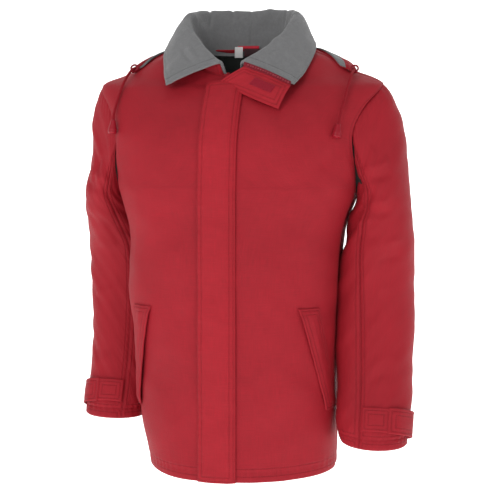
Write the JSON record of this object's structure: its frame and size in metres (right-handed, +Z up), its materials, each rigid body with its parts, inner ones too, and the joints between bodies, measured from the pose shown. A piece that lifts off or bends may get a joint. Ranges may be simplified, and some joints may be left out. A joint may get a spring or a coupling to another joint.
{
  "type": "foul weather jacket",
  "caption": "Padded waterproof jacket with folded fleece collar, hood lying on the back, storm flap over a zip, drawcords, slanted pockets and cuff tabs",
  "frame": {"origin": "at the nape, where the hanger loop is sewn to the neck seam", "axes": "+X the wearer's left, -Y the front, +Z up"},
  "size_m": [0.5918, 0.362, 0.7921],
  "materials": {
    "shell_red": "matte woven",
    "wadding": "matte",
    "lining_black": "matte",
    "fleece_grey": "brushed",
    "hook_loop_red": "matte",
    "zip_tape_red": "matte",
    "zip_teeth": "moulded",
    "metal": "brushed",
    "cord_red": "braided",
    "cord_end": "moulded",
    "loop_red": "woven tape",
    "label_white": "satin",
    "label_black": "satin"
  },
  "bodies": {
    "jacket_body": {"front_shell_right": "shell_red", "wadding_front_right": "wadding", "lining_front_right": "lining_black", "collar_stand_right": "shell_red", "hood_side_right": "shell_red", "pocket_welt_right": "shell_red", "pocket_bag_right": "lining_black", "zip_tape_right": "zip_tape_red", "front_shell_left": "shell_red", "wadding_front_left": "wadding", "lining_front_left": "lining_black", "collar_stand_left": "shell_red", "hood_side_left": "shell_red", "pocket_welt_left": "shell_red", "pocket_bag_left": "lining_black", "zip_tape_left": "zip_tape_red", "back_shell": "shell_red", "wadding_back": "wadding", "lining_back": "lining_black", "collar_back_shell": "shell_red", "collar_back_fleece": "fleece_grey", "storm_flap_top": "shell_red", "front_loop_patches": "hook_loop_red", "zip_teeth": "zip_teeth", "zip_box": "metal", "eyelets": "metal", "hanger_loop": "loop_red", "size_label": "label_white", "maker_label": "label_black"},
    "zip_slider": {"zip_slider": "metal"},
    "zip_puller": {"zip_puller": "metal"},
    "storm_flap": {"storm_flap": "shell_red", "storm_flap_hook_patches": "hook_loop_red"},
    "collar_wing_right": {"collar_wing_right_shell": "shell_red", "collar_wing_right_fleece": "fleece_grey"},
    "collar_wing_left": {"collar_wing_left_shell": "shell_red", "collar_wing_left_fleece": "fleece_grey", "collar_flap_end": "shell_red", "collar_flap_patch": "hook_loop_red"},
    "hood": {"hood_pouch_shell": "shell_red", "hood_pouch_fleece": "fleece_grey"},
    "drawcord_right": {"drawcord_right": "cord_red", "cord_end_right": "cord_end"},
    "drawcord_left": {"drawcord_left": "cord_red", "cord_end_left": "cord_end"},
    "sleeve_right": {"sleeve_right": "shell_red", "sleeve_lining_right": "lining_black", "cuff_hem_right": "shell_red", "cuff_loop_patch_right": "hook_loop_red"},
    "sleeve_left": {"sleeve_left": "shell_red", "sleeve_lining_left": "lining_black", "cuff_hem_left": "shell_red", "cuff_loop_patch_left": "hook_loop_red"},
    "cuff_tab_right": {"cuff_tab_right": "shell_red", "cuff_hook_patch_right": "hook_loop_red"},
    "cuff_tab_left": {"cuff_tab_left": "shell_red", "cuff_hook_patch_left": "hook_loop_red"}
  },
  "joints": [
    {"name": "zip_slide", "type": "slide", "parent": "jacket_body", "child": "zip_slider", "axis": [0, 0, -1], "range_m": [0, 0.43]},
    {"name": "puller_swing", "type": "hinge", "parent": "zip_slider", "child": "zip_puller", "pos_m": [0, -0.2351, -0.2524], "axis": [-1, 0, 0], "range_deg": [0, 7]},
    {"name": "storm_flap_open", "type": "hinge", "parent": "jacket_body", "child": "storm_flap", "pos_m": [0.021, -0.2343, -0.48], "axis": [0, 0, 1], "range_deg": [0, 135]},
    {"name": "collar_wing_right_turn", "type": "hinge", "parent": "jacket_body", "child": "collar_wing_right", "pos_m": [-0.017, -0.163, -0.038], "axis": [-0.6047, 0.6326, 0.4838], "range_deg": [0, 14]},
    {"name": "collar_wing_left_turn", "type": "hinge", "parent": "jacket_body", "child": "collar_wing_left", "pos_m": [0.017, -0.163, -0.038], "axis": [-0.6047, -0.6326, -0.4838], "range_deg": [0, 14]},
    {"name": "hood_lift", "type": "hinge", "parent": "jacket_body", "child": "hood", "pos_m": [0, 0.008, -0.008], "axis": [1, 0, 0], "range_deg": [0, 60]},
    {"name": "drawcord_right_swing", "type": "hinge", "parent": "jacket_body", "child": "drawcord_right", "pos_m": [-0.184, -0.099, -0.042], "axis": [0, -0.866, 0.5], "range_deg": [-12, 0]},
    {"name": "drawcord_left_swing", "type": "hinge", "parent": "jacket_body", "child": "drawcord_left", "pos_m": [0.198, -0.098, -0.046], "axis": [0, -0.866, 0.5], "range_deg": [0, 12]},
    {"name": "sleeve_right_raise", "type": "hinge", "parent": "jacket_body", "child": "sleeve_right", "pos_m": [-0.245, -0.093, -0.068], "axis": [0, 1, 0], "range_deg": [0, 40]},
    {"name": "sleeve_left_raise", "type": "hinge", "parent": "jacket_body", "child": "sleeve_left", "pos_m": [0.245, -0.093, -0.068], "axis": [0, -1, 0], "range_deg": [0, 40]},
    {"name": "cuff_tab_right_open", "type": "hinge", "parent": "sleeve_right", "child": "cuff_tab_right", "pos_m": [-0.2535, -0.11369, -0.6032], "axis": [0.0273, 0.3112, 0.9499], "range_deg": [0, 100]},
    {"name": "cuff_tab_left_open", "type": "hinge", "parent": "sleeve_left", "child": "cuff_tab_left", "pos_m": [0.2729, -0.1876, -0.62741], "axis": [-0.0332, -0.2505, -0.9675], "range_deg": [0, 100]}
  ]
}
